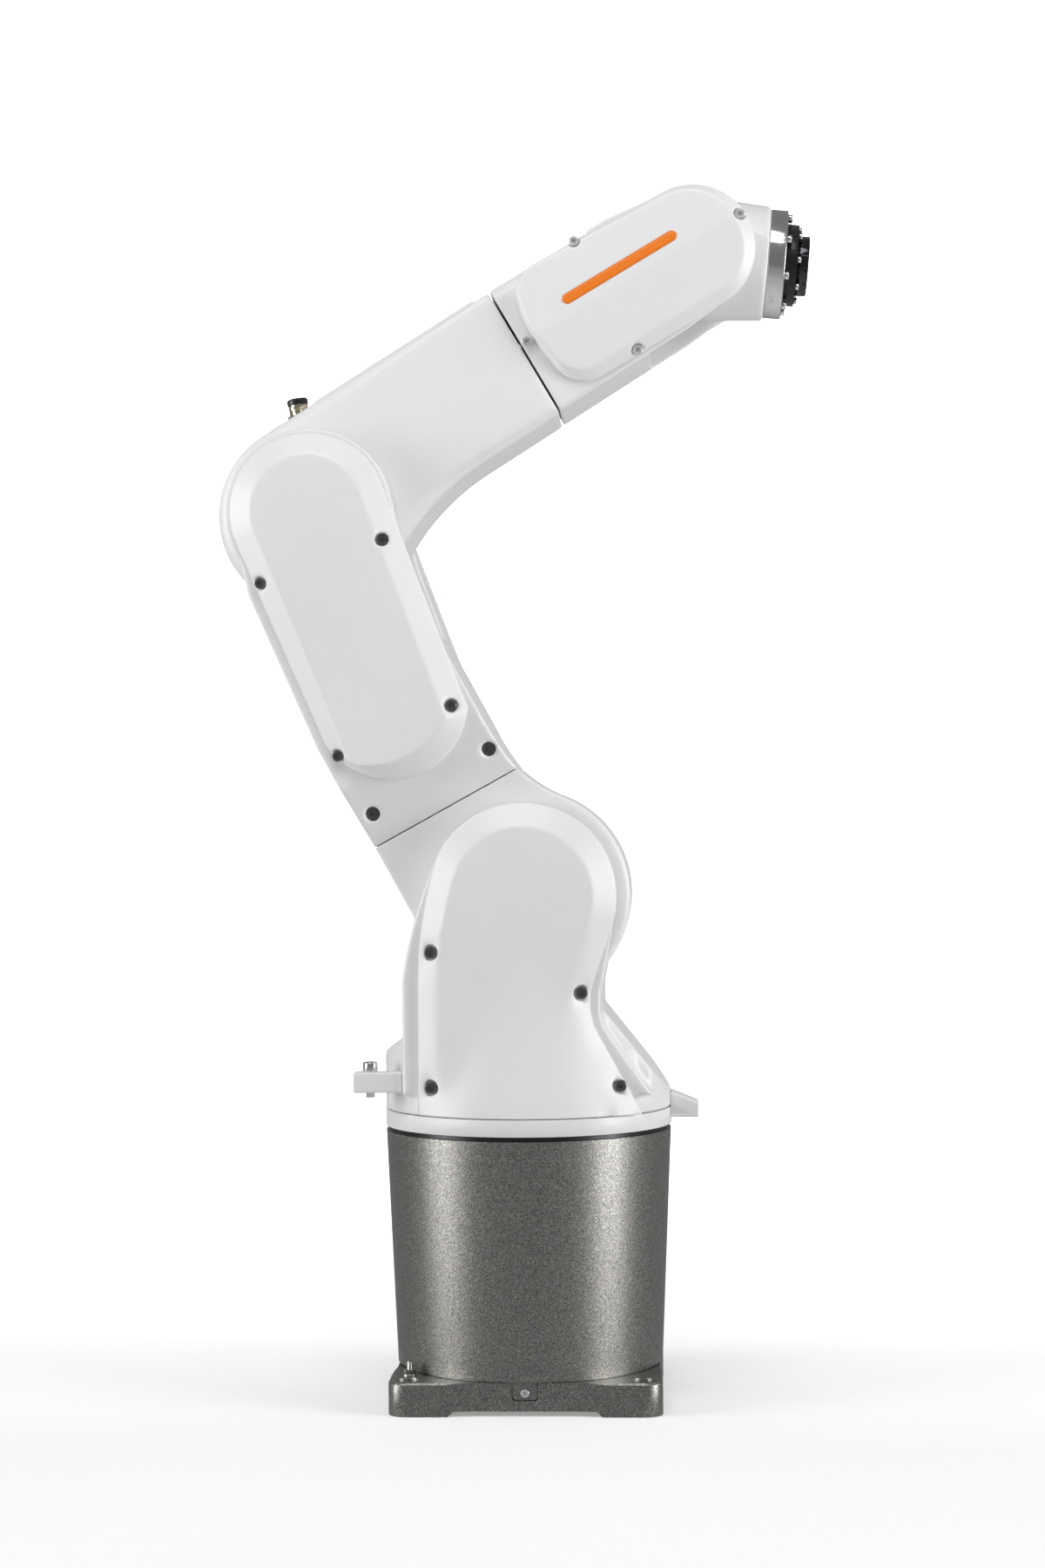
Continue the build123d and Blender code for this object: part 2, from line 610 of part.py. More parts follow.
def make_wrist_cheek():
    near = slab(wrist_side(), -WRIST_HALF, -SLOT_HALF)
    near &= block((-150, 60), (-60, 0), (-60, 60)) - (
        pin_y(200, -60, 60, 0, 0) - pin_y(HAND_SWEEP_R, -61, 61))
    near -= pin_y(16.2, -60, 0)
    return near


def wrist_cover_outline():
    top = polar(WRIST_ROUND_R, 88, COVER_MIDDLE)
    low = polar(WRIST_ROUND_R, -90, COVER_MIDDLE)
    return make_face([
        Line((-100, 46.8), top),
        ThreePointArc(top, polar(WRIST_ROUND_R, 0, COVER_MIDDLE), low),
        Line(low, (-98, -40.5)),
        ThreePointArc((-98, -40.5), (-114, -33.5), (-121, -16)),
        ThreePointArc((-121, -16), (-123.8, 6), (-121.2, 28)),
        ThreePointArc((-121.2, 28), (-114, 41.5), (-100, 46.8)),
    ])


def wrist_cover_flat():
    middle = (-3.0, 2.5)
    top = polar(33.0, 84, middle)
    low = polar(33.0, -62, middle)
    return make_face([
        Line((-98, 43.8), top),
        ThreePointArc(top, polar(33.0, 0, middle), low),
        Line(low, (-97, -27.5)),
        ThreePointArc((-97, -27.5), (-110, -24), (-117.5, -14)),
        ThreePointArc((-117.5, -14), (-120.6, 6), (-118, 27)),
        ThreePointArc((-118, 27), (-111.5, 39), (-98, 43.8)),
    ])


def make_wrist_cover():
    face_y = WRIST_COVER_HALF
    cover = bevelled(wrist_cover_outline(), wrist_cover_flat(), -WRIST_HALF, -WRIST_HALF - 2.5, -face_y)
    roof = [(-38, -60), (-face_y + 6, -60), (-face_y, 4), (-face_y + 7, 60), (-38, 60)]
    cover &= extrude(Plane.YZ * make_face(Polyline(*roof, close=True)), amount=150, both=True)
    for x, z in WRIST_SCREWS:
        cover -= pin_y(4.4, -WRIST_SCREW_SEAT, -60, x, z)
        cover -= pin_y(1.9, -WRIST_HALF + 1, -60, x, z)
    return cover


def wrist_belt_room():
    return slab(track((0, 0), 27.5, A5_MOTOR, 16), -WRIST_HALF + 1, -48.3)


def make_wrist_screws():
    screws = []
    for x, z in WRIST_SCREWS:
        screw = facing((x, -WRIST_SCREW_SEAT, z), (0, -1, 0)) * cap_screw(3.3, 2.4, 1.6, 2.3)
        screws += [screw, far_side(screw)]
    return screws


def make_fifth_axis():
    motor = pin_y(21, -36, 33, *A5_MOTOR) + pin_y(3, -48, -35, *A5_MOTOR)
    small = Pos(A5_MOTOR[0], 0, A5_MOTOR[1]) * toothed_pulley(11, -47.6, -43, 3.05, 18)
    belt = belt_loop(A5_MOTOR, 11, (0, 0), 22, -47.2, -43.4, 0.4, 1.4)
    return motor, small, belt


# ---------------------------------------------------------------- hand and flange, built level
def make_hand():
    outline = [(0, 0), (47.4, 0), (47.4, 36.8), (46.0, 38.2), (8, 41.2), (0, 38)]
    head = revolve(Plane.XZ * make_face(Polyline(*outline, close=True)), axis=Axis.X)
    body = head + pin_y(36.5, -HAND_HALF, HAND_HALF)
    body &= block((-60, 60), (-HAND_HALF, HAND_HALF), (-60, 60))
    body -= pin_x(24, 8, 48)
    ring = pin_x(36.2, 47.4, RING_FACE)
    ring = chamfer(ring.edges().filter_by(GeomType.CIRCLE), 0.6) - pin_x(15, 46, 60)
    trunnion = pin_y(12, -HAND_HALF - 11, -HAND_HALF + 2) + pin_y(12, HAND_HALF - 2, HAND_HALF + 5)
    body += trunnion
    wheel = toothed_pulley(22, -47.6, -43, 12.05, 36)
    ring_screws = []
    for i in range(8):
        y, z = polar(31.6, 22.5 + 45 * i)
        ring -= pin_x(1.6, 50, 60, y, z)
        ring_screws.append(facing((RING_FACE, y, z), (1, 0, 0)) * cap_screw(2.7, 3.0, 1.5, 7))
    return body, ring, ring_screws, wheel


def make_hand_bearings():
    near = pin_y(16, -SLOT_HALF - 0.1, -WRIST_HALF, 0, 0) - pin_y(12.08, -30, -50)
    return [near, far_side(near)]


def make_hand_drive():
    """Flat geared motor of axis 6 inside the hand."""
    return pin_x(23.9, 10, 40) - pin_x(8.5, 30, 41)


def make_flange():
    disc = pin_x(27.2, RING_FACE + 0.3, DISC_FACE)
    disc += pin_x(8, 32, RING_FACE + 1) + pin_x(14.6, 48, RING_FACE + 1)
    disc_screws = []
    for i in range(8):
        y, z = polar(23.6, 45 * i)
        disc -= pin_x(1.3, 62, 68, y, z)
        disc_screws.append(facing((DISC_FACE, y, z), (1, 0, 0)) * cap_screw(2.3, 2.4, 1.2, 4.5))
    plate = pin_x(FLANGE_R, DISC_FACE, HAND_LENGTH)
    plate = chamfer(plate.edges().sort_by(Axis.X)[-1], 0.5)
    plate -= pin_x(FLANGE_BORE_R, DISC_FACE + 1.5, HAND_LENGTH + 1)
    for i in range(4):
        y, z = polar(FLANGE_PCD / 2, 45 + 90 * i)
        plate -= pin_x(FLANGE_TAP_R, DISC_FACE - 1, HAND_LENGTH + 1, y, z)
    y, z = polar(FLANGE_PCD / 2, 90)
    plate -= pin_x(FLANGE_DOWEL_R, DISC_FACE - 1, HAND_LENGTH + 1, y, z)
    for i in range(12):
        y, z = polar(FLANGE_R + 0.4, 15 + 30 * i)
        plate -= pin_x(1.3, DISC_FACE + 4.6, HAND_LENGTH + 1, y, z)
    return disc, disc_screws, plate


# ---------------------------------------------------------------- assembly
def add(nodes, name, shapes, place=None):
    """Collect one node's solids, moved from their own frame to the arm's."""
    shapes = shapes if isinstance(shapes, list) else [shapes]
    placed = [place * shape if place else shape for shape in shapes]
    nodes[name] = [solid for shape in placed for solid in shape.solids()]


def assemble():
    nodes = {}
    add(nodes, "base_plate", make_base_plate())
    add(nodes, "base_housing", make_base_housing())
    add(nodes, "base_lug_screws", make_lug_screws())
    add(nodes, "ground_stud", make_ground_stud())
    panel, sockets = make_interface()
    add(nodes, "interface_panel", panel)
    add(nodes, "interface_sockets", sockets)
    gear, motor, seal, turntable = make_first_axis()
    add(nodes, "axis1_gear", gear)
    add(nodes, "axis1_motor", motor)
    add(nodes, "axis1_seal", seal)

    add(nodes, "turntable", turntable)
    core, wall, cover = make_column()
    add(nodes, "column_core", core)
    add(nodes, "column_cheek_near", wall)
    add(nodes, "column_cheek_far", far_side(wall))
    add(nodes, "column_cover_near", cover)
    add(nodes, "column_cover_far", far_side(cover))
    add(nodes, "column_cover_screws", make_column_screws())
    lugs, stop_screw = make_stops()
    add(nodes, "stop_lugs", lugs)
    add(nodes, "stop_screw", stop_screw)
    motor, bearing = make_shoulder_drive()
    add(nodes, "axis2_motor", motor)
    add(nodes, "axis2_bearing", bearing)

    hub, gear = make_lower_hub()
    add(nodes, "lower_arm_hub", hub, shoulder)
    add(nodes, "axis2_gear", gear, shoulder)
    add(nodes, "lower_arm_link", make_lower_link(), shoulder)
    cheek = make_elbow_cheek()
    add(nodes, "elbow_cheek_near", cheek, shoulder)
    add(nodes, "elbow_cheek_far", far_side(cheek), shoulder)
    cover = make_elbow_cover()
    add(nodes, "elbow_cover_near", cover - elbow_belt_room(), shoulder)
    add(nodes, "elbow_cover_far", far_side(cover), shoulder)
    add(nodes, "lower_arm_screws", make_arm_screws(), shoulder)
    motor, small, belt, bearings = make_elbow_drive()
    add(nodes, "axis3_motor", motor, shoulder)
    add(nodes, "axis3_motor_pulley", small, shoulder)
    add(nodes, "axis3_belt", belt, shoulder)
    add(nodes, "axis3_bearings", bearings, shoulder)

    add(nodes, "forearm_housing", make_forearm(), elbow)
    gear = pin_y(44.9, 26, DRUM_HALF - 1) - pin_y(14, 20, DRUM_HALF + 1)
    add(nodes, "axis3_axle", [pin_y(14, -74, -20), pin_y(14, 25.8, 64)], elbow)
    add(nodes, "axis3_gear", gear, elbow)
    add(nodes, "axis3_pulley", toothed_pulley(30, -73.5, -67.5, 14, 48), elbow)
    add(nodes, "forearm_top_cover", make_forearm_strip(), elbow)
    connector, cap = make_service_connector()
    add(nodes, "service_connector", connector, elbow)
    add(nodes, "connector_cap", cap, elbow)
    gear, motor, shaft = make_fourth_axis()
    add(nodes, "axis4_gear", gear, elbow)
    add(nodes, "axis4_motor", motor, elbow)

    add(nodes, "axis4_shaft", shaft, elbow)
    add(nodes, "wrist_housing", make_wrist_housing(), wrist)
    cheek = make_wrist_cheek()
    add(nodes, "wrist_cheek_near", cheek, wrist)
    add(nodes, "wrist_cheek_far", far_side(cheek), wrist)
    cover = make_wrist_cover()
    add(nodes, "wrist_cover_near", cover - wrist_belt_room(), wrist)
    cover -= pin_y(12.4, -WRIST_HALF + 1, -WRIST_HALF - 1.2)
    add(nodes, "wrist_cover_far", far_side(cover), wrist)
    add(nodes, "wrist_cover_screws", make_wrist_screws(), wrist)
    motor, small, belt = make_fifth_axis()
    add(nodes, "axis5_motor", motor, wrist)
    add(nodes, "axis5_motor_pulley", small, wrist)
    add(nodes, "axis5_belt", belt, wrist)
    add(nodes, "axis5_bearings", make_hand_bearings(), wrist)

    body, ring, ring_screws, wheel = make_hand()
    add(nodes, "hand_housing", body, hand)
    add(nodes, "hand_ring", ring, hand)
    add(nodes, "hand_ring_screws", ring_screws, hand)
    add(nodes, "axis5_pulley", wheel, hand)
    add(nodes, "axis6_motor", make_hand_drive(), hand)
    disc, disc_screws, plate = make_flange()
    add(nodes, "flange_disc", disc, hand)
    add(nodes, "flange_disc_screws", disc_screws, hand)
    add(nodes, "tool_flange", plate, hand)
    return nodes


for name, solids in assemble().items():
    export_step(Compound(children=solids) if len(solids) > 1 else solids[0], f"parts/{name}.step")
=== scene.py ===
import json
import math

import bmesh
import bpy
import numpy as np
from mathutils import Matrix, Vector
from mathutils.bvhtree import BVHTree


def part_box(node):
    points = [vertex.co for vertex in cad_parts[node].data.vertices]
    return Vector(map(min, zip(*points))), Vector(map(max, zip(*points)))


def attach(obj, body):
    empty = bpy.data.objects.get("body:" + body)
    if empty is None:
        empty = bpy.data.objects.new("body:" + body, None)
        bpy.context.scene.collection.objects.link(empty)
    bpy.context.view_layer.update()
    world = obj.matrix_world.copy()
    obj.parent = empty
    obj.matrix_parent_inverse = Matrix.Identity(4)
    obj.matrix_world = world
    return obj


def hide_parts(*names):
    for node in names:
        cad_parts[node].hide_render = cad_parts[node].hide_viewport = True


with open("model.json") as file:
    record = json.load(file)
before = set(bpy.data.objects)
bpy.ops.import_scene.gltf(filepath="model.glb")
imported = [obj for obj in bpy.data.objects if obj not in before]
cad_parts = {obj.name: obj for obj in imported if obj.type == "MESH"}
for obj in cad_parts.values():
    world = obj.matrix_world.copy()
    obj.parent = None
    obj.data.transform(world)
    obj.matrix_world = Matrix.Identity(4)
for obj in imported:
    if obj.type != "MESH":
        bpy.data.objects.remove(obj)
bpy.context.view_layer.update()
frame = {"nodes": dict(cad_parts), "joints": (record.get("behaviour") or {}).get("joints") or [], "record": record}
nodes = frame["nodes"]
joints = {joint["name"]: joint for joint in frame["joints"]}
slots = {part["node"]: part["material_slot"] for part in frame["record"]["subparts"]}
bodies = {node: body for body, group in frame["record"]["behaviour"]["bodies"].items() for node in group}
MM = 0.001

# ---------------------------------------------------------------- camera
# place in metres, turns in radians, lens and sensor in mm, rise as a share of the picture's height
CAMERA_AT = Vector((0.09324, -2.01067, 0.3958))
YAW = 0.0476
ROLL = 0.0083
LENS = 68.207
SENSOR = 36
RISE = 0.014222


def add_camera():
    """Camera at the photograph's angle."""
    ahead = Vector((-math.sin(YAW), math.cos(YAW), 0))
    level = Vector((math.cos(YAW), math.sin(YAW), 0))
    right = level * math.cos(ROLL) - Vector((0, 0, 1)) * math.sin(ROLL)
    up = right.cross(ahead)
    data = bpy.data.cameras.new("camera")
    data.lens = LENS
    data.sensor_width = SENSOR
    data.shift_y = RISE
    camera = bpy.data.objects.new("camera", data)
    axes = Matrix((right, up, -ahead)).transposed().to_4x4()
    camera.matrix_world = Matrix.Translation(CAMERA_AT) @ axes
    bpy.context.scene.collection.objects.link(camera)
    bpy.context.scene.camera = camera


# ---------------------------------------------------------------- materials
class Nodes:
    """Short forms for building one material's node tree."""

    def __init__(self, name, **sockets):
        self.material = bpy.data.materials.new(name)
        self.material.use_nodes = True
        self.tree = self.material.node_tree
        self.shader = self.tree.nodes["Principled BSDF"]
        for key, value in sockets.items():
            self.shader.inputs[key.replace("_", " ")].default_value = value
        self.where = self.tree.nodes.new("ShaderNodeTexCoord").outputs["Object"]

    def node(self, kind, links, **values):
        """A new node: its settings, and for each input a value or the socket that feeds it."""
        made = self.tree.nodes.new(kind)
        for key, value in values.items():
            setattr(made, key, value)
        for key, value in links.items():
            if isinstance(value, bpy.types.NodeSocket):
                self.tree.links.new(value, made.inputs[key])
            else:
                made.inputs[key].default_value = value
        return made

    def noise(self, scale, detail, roughness=0.55, vector=None):
        links = {"Vector": vector or self.where, "Scale": scale, "Detail": detail, "Roughness": roughness}
        return self.node("ShaderNodeTexNoise", links).outputs["Fac"]

    def ramp(self, factor, stops):
        """Colour ramp. Each stop is a place and either a colour or one level of grey."""
        made = self.node("ShaderNodeValToRGB", {"Fac": factor})
        for element, (place, value) in zip(made.color_ramp.elements, stops):
            element.position = place
            element.color = rgba(*value) if isinstance(value, tuple) else rgba(value, value, value)
        return made.outputs["Color"]

    def bump(self, height, distance, strength, normal=None):
        links = {"Height": height, "Distance": distance, "Strength": strength}
        if normal:
            links["Normal"] = normal
        return self.node("ShaderNodeBump", links).outputs["Normal"]

    def set(self, **links):
        """Feeds the shader's sockets and gives back the finished material."""
        for key, value in links.items():
            self.tree.links.new(value, self.shader.inputs[key.replace("_", " ")])
        return self.material


def rgba(r, g, b):
    return (r, g, b, 1)


def white_coat():
    """Fine-textured powder coat."""
    n = Nodes("white_coat", Metallic=0.0, Coat_Weight=0.15, Coat_Roughness=0.3)
    tint = n.ramp(n.noise(9, 4), [(0.35, (0.79, 0.792, 0.795)), (0.65, (0.82, 0.822, 0.824))])
    gloss = n.ramp(n.noise(700, 2), [(0.3, 0.36), (0.7, 0.46)])
    peel = n.bump(n.noise(430, 2), 0.00007, 0.5)
    grit = n.bump(n.noise(1300, 2), 0.00003, 0.5, peel)
    return n.set(Base_Color=tint, Roughness=gloss, Normal=grit)


def grey_coat():
    """Hammered metallic coat: dark grain with fine bright flakes."""
    n = Nodes("grey_coat", Coat_Weight=0.2, Coat_Roughness=0.35)
    grain = n.noise(1250, 3, 0.65)
    flakes = n.node("ShaderNodeTexVoronoi", {"Vector": n.where, "Scale": 1900.0}).outputs["Color"]
    flake_level = n.node("ShaderNodeRGBToBW", {"Color": flakes}).outputs["Val"]
    spark = n.ramp(flake_level, [(0.7, 0.0), (0.9, 0.8)])
    mottle = n.ramp(grain, [(0.38, (0.115, 0.112, 0.104)), (0.62, (0.37, 0.362, 0.342))])
    blend = {"Factor": spark, "A": mottle, "B": rgba(0.62, 0.605, 0.57)}
    tint = n.node("ShaderNodeMix", blend, data_type="RGBA").outputs["Result"]
    metal = n.ramp(grain, [(0.3, 0.92), (0.7, 1.0)])
    gloss = n.ramp(n.noise(600, 3), [(0.3, 0.33), (0.7, 0.45)])
    relief = n.bump(grain, 0.00005, 0.5)
    return n.set(Base_Color=tint, Metallic=metal, Roughness=gloss, Normal=relief, Coat_Normal=relief)


def turned(name, axis, colour, roughness, metallic=1.0):
    """Metal turned about an axis: fine rings along it."""
    n = Nodes(name, Metallic=metallic)
    along = n.node("ShaderNodeVectorMath", {0: n.where, 1: tuple(axis)}, operation="DOT_PRODUCT")
    line = n.node("ShaderNodeCombineXYZ", {"X": along.outputs["Value"]}).outputs["Vector"]
    rings = n.noise(2500, 3, 0.7, line)
    tint = n.ramp(rings, [(0.3, tuple(c * 0.82 for c in colour)), (0.7, colour)])
    gloss = n.ramp(n.noise(400, 3), [(0.3, roughness * 0.8), (0.7, roughness * 1.25)])
    return n.set(Base_Color=tint, Roughness=gloss, Normal=n.bump(rings, 0.00002, 0.5))


def plain(name, colour, roughness, metallic=0.0, vary=0.15):
    """Cast, moulded or plated surface with a little variation."""
    n = Nodes(name, Metallic=metallic)
    grain = n.noise(600, 3, 0.6)
    dark, light = (tuple(c * (1 + change) for c in colour) for change in (-vary, vary))
    tint = n.ramp(grain, [(0.3, dark), (0.7, light)])
    gloss = n.ramp(n.noise(100, 3), [(0.3, roughness * 0.8), (0.7, roughness * 1.2)])
    return n.set(Base_Color=tint, Roughness=gloss, Normal=n.bump(grain, 0.00002, 0.4))


def make_materials():
    flange_axis = joints["axis6"]["axis"]
    upright = (0, 0, 1)
    crosswise = (0, 1, 0)
    return {
        "white_coat": white_coat(),
        "grey_coat": grey_coat(),
        "steel": turned("steel", flange_axis, (0.66, 0.655, 0.64), 0.15),
        "dark_steel": plain("dark_steel", (0.13, 0.13, 0.135), 0.4, 1.0),
        "black_anodised": turned("black_anodised", flange_axis, (0.022, 0.022, 0.024), 0.3, 0.5),
        "black_steel": turned("black_steel", flange_axis, (0.06, 0.06, 0.065), 0.12),
        "bare_aluminium": turned("bare_aluminium", crosswise, (0.6, 0.61, 0.62), 0.3),
        "bright_screws": plain("bright_screws", (0.66, 0.66, 0.64), 0.14, 1.0),
        "zinc_screws": plain("zinc_screws", (0.68, 0.69, 0.7), 0.42, 0.7),
        "black_screws": plain("black_screws", (0.16, 0.17, 0.17), 0.3, 0.9),
        "connector": turned("connector", upright, (0.72, 0.63, 0.46), 0.14),
        "rubber": plain("rubber", (0.012, 0.012, 0.013), 0.35, vary=0.3),
        "black_plastic": plain("black_plastic", (0.03, 0.03, 0.032), 0.5),
        "orange_paint": plain("orange_paint", (0.86, 0.2, 0.004), 0.4, vary=0.04),
    }


def paint(obj, material):
    obj.data.materials.clear()
    obj.data.materials.append(material)


# ---------------------------------------------------------------- stage
# the floor's profile in metres: from near to far, then a bend up to the backdrop's height
FLOOR_NEAR = -3.0
FLOOR_FAR = 3.2
FLOOR_HALF = 6.0
BEND = 1.2
BEND_STEPS = 16
BACKDROP_HEIGHT = 5.0

# name: (place, target, size) in metres and power in watts
MIDDLE = (0, 0, 0.5)
LIGHTS = {
    "left_box": ((-2.25, -0.85, 0.6), MIDDLE, (1.1, 1.8), 38),
    "right_box": ((2.25, -0.8, 0.6), MIDDLE, (1.0, 1.8), 46),
    "top_box": ((-0.15, -0.95, 1.95), (0, 0, 0.65), (1.4, 0.6), 12),
    "backdrop_wash": ((0, 1.3, 3.3), (0, 4.4, 1.9), (6.0, 0.8), 420),
}

# brightness of the surroundings, from straight below (0) to straight above (1)
WORLD_LIGHT = [(0.0, 0.8), (0.42, 0.24), (1.0, 0.27)]


def add_stage():
    """Pale floor that curves up into a backdrop."""
    mesh = bpy.data.meshes.new("floor")
    work = bmesh.new()
    profile = [(FLOOR_NEAR, 0.0)]
    for i in range(BEND_STEPS + 1):
        turn = math.pi / 2 * i / BEND_STEPS
        profile.append((FLOOR_FAR + BEND * math.sin(turn), BEND * (1 - math.cos(turn))))
    profile.append((FLOOR_FAR + BEND, BACKDROP_HEIGHT))
    left, right = ([work.verts.new((x, y, z)) for y, z in profile] for x in (-FLOOR_HALF, FLOOR_HALF))
    for i in range(len(profile) - 1):
        work.faces.new((left[i], right[i], right[i + 1], left[i + 1])).smooth = True
    work.to_mesh(mesh)
    work.free()
    floor = bpy.data.objects.new("floor", mesh)
    bpy.context.scene.collection.objects.link(floor)
    n = Nodes("floor", Roughness=0.7, Emission_Color=rgba(1, 1, 1), Emission_Strength=0.2)
    tint = n.ramp(n.noise(3, 3), [(0.3, (0.94, 0.94, 0.942)), (0.7, (0.96, 0.96, 0.961))])
    paint(floor, n.set(Base_Color=tint))
    floor.visible_diffuse = False
    floor.visible_glossy = False


def add_light(name, place, target, size, power):
    data = bpy.data.lights.new(name, "AREA")
    data.shape = "RECTANGLE"
    data.size, data.size_y = size
    data.energy = power
    light = bpy.data.objects.new(name, data)
    light.location = place
    light.rotation_euler = (Vector(target) - Vector(place)).to_track_quat("-Z", "Y").to_euler()
    bpy.context.scene.collection.objects.link(light)


def add_world():
    """Soft surroundings whose brightness depends on the height of the direction looked in."""
    world = bpy.data.worlds.new("studio")
    world.use_nodes = True
    tree = world.node_tree
    height = tree.nodes.new("ShaderNodeSeparateXYZ")
    tree.links.new(tree.nodes.new("ShaderNodeTexCoord").outputs["Generated"], height.inputs["Vector"])
    spread = tree.nodes.new("ShaderNodeMapRange")
    spread.inputs["From Min"].default_value = -1
    tree.links.new(height.outputs["Z"], spread.inputs["Value"])
    ramp = tree.nodes.new("ShaderNodeValToRGB")
    ramp.color_ramp.elements.new(0.5)
    for element, (place, value) in zip(ramp.color_ramp.elements, WORLD_LIGHT):
        element.position = place
        element.color = rgba(value, value, value)
    tree.links.new(spread.outputs["Result"], ramp.inputs["Fac"])
    tree.links.new(ramp.outputs["Color"], tree.nodes["Background"].inputs["Color"])
    bpy.context.scene.world = world
    bpy.context.scene.view_settings.view_transform = "Standard"


# ---------------------------------------------------------------- cast pieces
# a point moves freely when it is FAR from every neighbour, and stays put when it is NEAR one
NEAR = 0.8 * MM
FAR = 3.0 * MM
# share of the way to its neighbours' mean that a free point moves in one round
STRIDE = 0.5
# share of the remeshed faces that a cast piece keeps
KEPT_FACES = 0.4

# the near column cover flares into the round foot: below this height it gets more rounds
FOOT_PIECE = "column_cover_near_cast"
FOOT_TOP = 318 * MM
FOOT_FADE = 20 * MM
FOOT_ROUNDS = 220
# how far a face must look towards the near side: no effect at the first value, full at the second
FACING = (0.5, 0.8)

# piece: (CAD nodes it stands in for, voxel in mm, rounds of relaxation)
CASTINGS = {
    "column_cast": (("column_core", "column_cheek_near", "column_cheek_far"), 1.2, 14),
    "column_cover_near_cast": (("column_cover_near",), 1.0, 6),
    "column_cover_far_cast": (("column_cover_far",), 1.2, 4),
    "stop_lugs_cast": (("stop_lugs",), 1.0, 6),
    "lower_arm_hub_cast": (("lower_arm_hub",), 1.2, 10),
    "lower_arm_cast": (("lower_arm_link", "elbow_cheek_near", "elbow_cheek_far"), 1.2, 10),
    "elbow_cover_near_cast": (("elbow_cover_near",), 1.0, 6),
    "elbow_cover_far_cast": (("elbow_cover_far",), 1.2, 4),
    "forearm_cast": (("forearm_housing",), 1.1, 24),
    "forearm_top_cast": (("forearm_top_cover",), 0.9, 4),
    "wrist_cast": (("wrist_housing", "wrist_cheek_near", "wrist_cheek_far"), 1.1, 8),
    "wrist_cover_near_cast": (("wrist_cover_near",), 0.9, 5),
    "wrist_cover_far_cast": (("wrist_cover_far",), 1.1, 4),
    "hand_cast": (("hand_housing",), 1.0, 8),
}


def modified(mesh, kind, **values):
    """A new mesh: the given one with one modifier applied."""
    holder = bpy.data.objects.new("holder", mesh)
    bpy.context.scene.collection.objects.link(holder)
    change = holder.modifiers.new("change", kind)
    for key, value in values.items():
        setattr(change, key, value)
    graph = bpy.context.evaluated_depsgraph_get()
    made = bpy.data.meshes.new_from_object(holder.evaluated_get(graph))
    bpy.data.objects.remove(holder)
    return made


def read_points(mesh, attribute="co"):
    flat = np.empty(len(mesh.vertices) * 3)
    mesh.vertices.foreach_get(attribute, flat)
    return flat.reshape(-1, 3)


def gather(names):
    """Points and faces of the named CAD meshes, as one mesh's lists."""
    points, faces = [], []
    for name in names:
        start = len(points)
        points.extend(read_points(nodes[name].data).tolist())
        faces.extend([start + i for i in face.vertices] for face in nodes[name].data.polygons)
    return points, faces


def joined(group):
    """One mesh holding every CAD mesh of the group."""
    points, faces = gather(group)
    mesh = bpy.data.meshes.new("joined")
    mesh.from_pydata(points, [], faces)
    return mesh


def neighbours(group):
    """Search tree of every other CAD node that comes within reach of this group's box."""
    corners = np.array([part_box(node) for node in group])
    low = corners[:, 0].min(0) - FAR
    high = corners[:, 1].max(0) + FAR

    def close(node):
        points = read_points(nodes[node].data)
        return not ((points.min(0) > high).any() or (points.max(0) < low).any())

    return BVHTree.FromPolygons(*gather(node for node in nodes if node not in group and close(node)))


def freedom(points, group):
    """How far each point may move: 0 where the part meets a neighbour, 1 in the open."""
    tree = neighbours(group)
    gaps = np.full(len(points), FAR)
    for i, point in enumerate(points.tolist()):
        found = tree.find_nearest(point, FAR)
        if found[0] is not None:
            gaps[i] = found[3]
    return np.clip((gaps - NEAR) / (FAR - NEAR), 0, 1)


def near_foot(mesh, points):
    """1 on the outward near face of the column's foot, 0 elsewhere."""
    towards = -read_points(mesh, "normal")[:, 1]
    facing = np.clip((towards - FACING[0]) / (FACING[1] - FACING[0]), 0, 1)
    return facing * np.clip((FOOT_TOP - points[:, 2]) / FOOT_FADE, 0, 1)


def relax(mesh, points, free, rounds):
    """Rounds off edges by moving each point towards the mean of its neighbours."""
    ends = np.empty(len(mesh.edges) * 2, np.int64)
    mesh.edges.foreach_get("vertices", ends)
    ends = ends.reshape(-1, 2)
    here = np.concatenate((ends[:, 0], ends[:, 1]))
    there = np.concatenate((ends[:, 1], ends[:, 0]))
    count = np.bincount(here, minlength=len(points))[:, None]
    share = STRIDE * free[:, None]
    for _ in range(rounds):
        total = np.stack([np.bincount(here, points[there, k], len(points)) for k in range(3)], 1)
        points += (total / count - points) * share
    mesh.vertices.foreach_set("co", points.ravel())
    mesh.update()


def cast(name, group, materials, voxel, rounds):
    """Stands in for a group of CAD castings: the same shape with its free edges rounded."""
    mesh = modified(joined(group), "REMESH", mode="VOXEL", voxel_size=voxel * MM, use_smooth_shade=True)
    points = read_points(mesh)
    free = freedom(points, group)
    relax(mesh, points, free, rounds)
    if name == FOOT_PIECE:
        relax(mesh, points, free * near_foot(mesh, points), FOOT_ROUNDS)
    mesh = modified(mesh, "DECIMATE", ratio=KEPT_FACES)
    mesh.name = name
    piece = bpy.data.objects.new(name, mesh)
    bpy.context.scene.collection.objects.link(piece)
    for face in mesh.polygons:
        face.use_smooth = True
    paint(piece, materials["white_coat"])
    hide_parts(*group)
    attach(piece, bodies[group[0]])


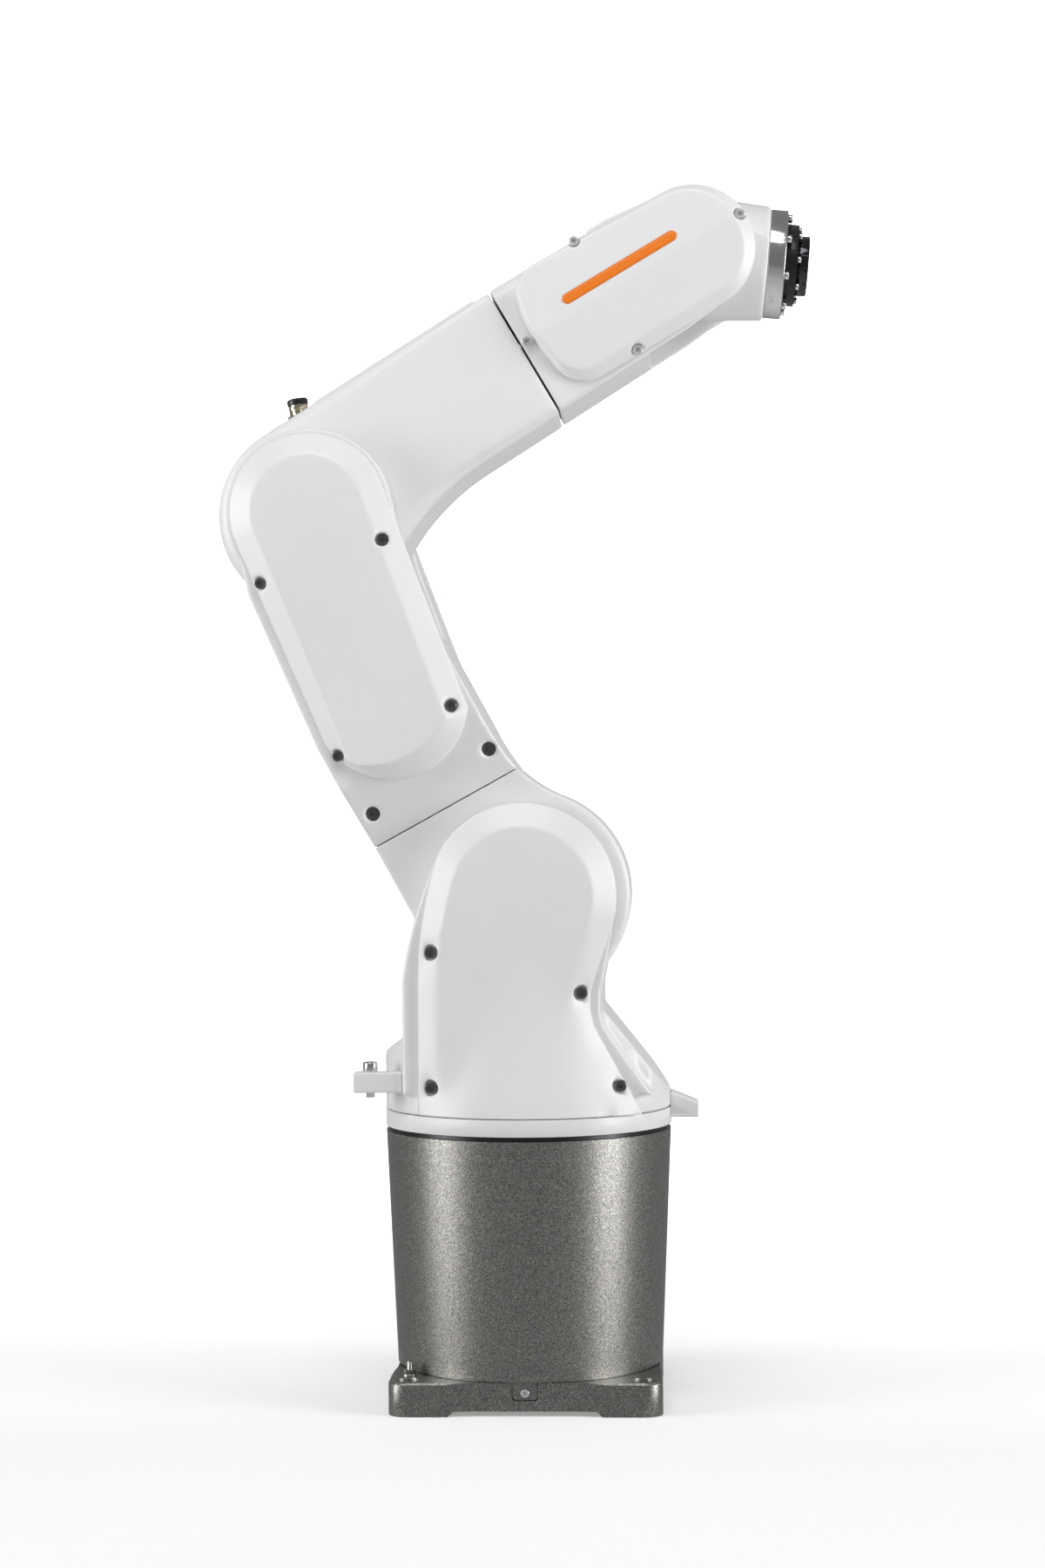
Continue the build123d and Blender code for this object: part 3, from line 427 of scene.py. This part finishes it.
# ---------------------------------------------------------------- machined pieces
# machined node: width of its broken edges in mm
ROUNDED = {
    "column_cover_screws": 0.5, "lower_arm_screws": 0.5, "wrist_cover_screws": 0.4, "base_lug_screws": 0.3,
    "hand_ring_screws": 0.5, "flange_disc_screws": 0.4, "stop_screw": 0.6, "ground_stud": 0.3,
    "hand_ring": 0.6, "flange_disc": 0.5, "tool_flange": 0.4, "service_connector": 0.3,
    "base_plate": 0.8, "turntable": 0.8,
}
SHARP = math.radians(30)
WELD_REACH = 0.01 * MM


def rounded(node, width):
    """Breaks a machined node's sharp edges."""
    obj = nodes[node]
    weld = obj.modifiers.new("weld", "WELD")
    weld.merge_threshold = WELD_REACH
    bevel = obj.modifiers.new("bevel", "BEVEL")
    bevel.width = width * MM
    bevel.segments = 2
    bevel.limit_method = "ANGLE"
    bevel.angle_limit = SHARP
    bevel.harden_normals = True


# ---------------------------------------------------------------- accent bar
# measured from axis 5: start and end along the wrist, low and high across it
BAR_START = -95 * MM
BAR_END = -8 * MM
BAR_LOW = 10.5 * MM
BAR_HIGH = 17.5 * MM
BAR_THICKNESS = 0.3 * MM
# share of the half width that is left at the tip of each rounded end
BAR_TIP = 0.2
BAR_STEPS = 60
BAR_ROWS = 4
# y where the rays towards the cover start: nearer the camera than all of the arm
RAY_START = -0.1


def bar_points(work, tree):
    """Rows of points across the bar, laid on the cover from one end to the other."""
    pivot = Vector(joints["axis5"]["pos_m"])
    along = Vector(joints["axis4"]["axis"])
    across = Vector((-along.z, 0, along.x))
    radius = (BAR_HIGH - BAR_LOW) / 2
    middle = (BAR_LOW + BAR_HIGH) / 2
    for i in range(BAR_STEPS + 1):
        x = BAR_START + (BAR_END - BAR_START) * i / BAR_STEPS
        inset = max(0.0, radius - min(x - BAR_START, BAR_END - x))
        half = math.sqrt(max(radius**2 - inset**2, (BAR_TIP * radius) ** 2))
        row = []
        for j in range(BAR_ROWS + 1):
            place = pivot + along * x + across * (middle + half * (2 * j / BAR_ROWS - 1))
            found = tree.ray_cast(Vector((place.x, RAY_START, place.z)), Vector((0, 1, 0)))[0]
            row.append(work.verts.new(found - Vector((0, BAR_THICKNESS / 2, 0))))
        yield row


def accent_bar(materials):
    """Plain painted bar along the upper half of the near wrist cover."""
    cover = bpy.data.objects["wrist_cover_near_cast"].data
    tree = BVHTree.FromPolygons(read_points(cover).tolist(), [list(f.vertices) for f in cover.polygons])
    work = bmesh.new()
    rows = list(bar_points(work, tree))
    for one, two in zip(rows, rows[1:]):
        for j in range(BAR_ROWS):
            work.faces.new((one[j], two[j], two[j + 1], one[j + 1])).smooth = True
    bmesh.ops.recalc_face_normals(work, faces=work.faces)
    mesh = bpy.data.meshes.new("accent_bar")
    work.to_mesh(mesh)
    work.free()
    bar = bpy.data.objects.new("accent_bar", mesh)
    bpy.context.scene.collection.objects.link(bar)
    thicken = bar.modifiers.new("thickness", "SOLIDIFY")
    thicken.thickness = BAR_THICKNESS
    thicken.offset = 0
    paint(bar, materials["orange_paint"])
    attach(bar, "wrist")


def build():
    add_camera()
    add_stage()
    for name, (place, target, size, power) in LIGHTS.items():
        add_light(name, place, target, size, power)
    add_world()
    materials = make_materials()
    for node, slot in slots.items():
        paint(nodes[node], materials[slot])
    for name, (group, voxel, rounds) in CASTINGS.items():
        cast(name, group, materials, voxel, rounds)
    for node, width in ROUNDED.items():
        rounded(node, width)
    accent_bar(materials)


build()
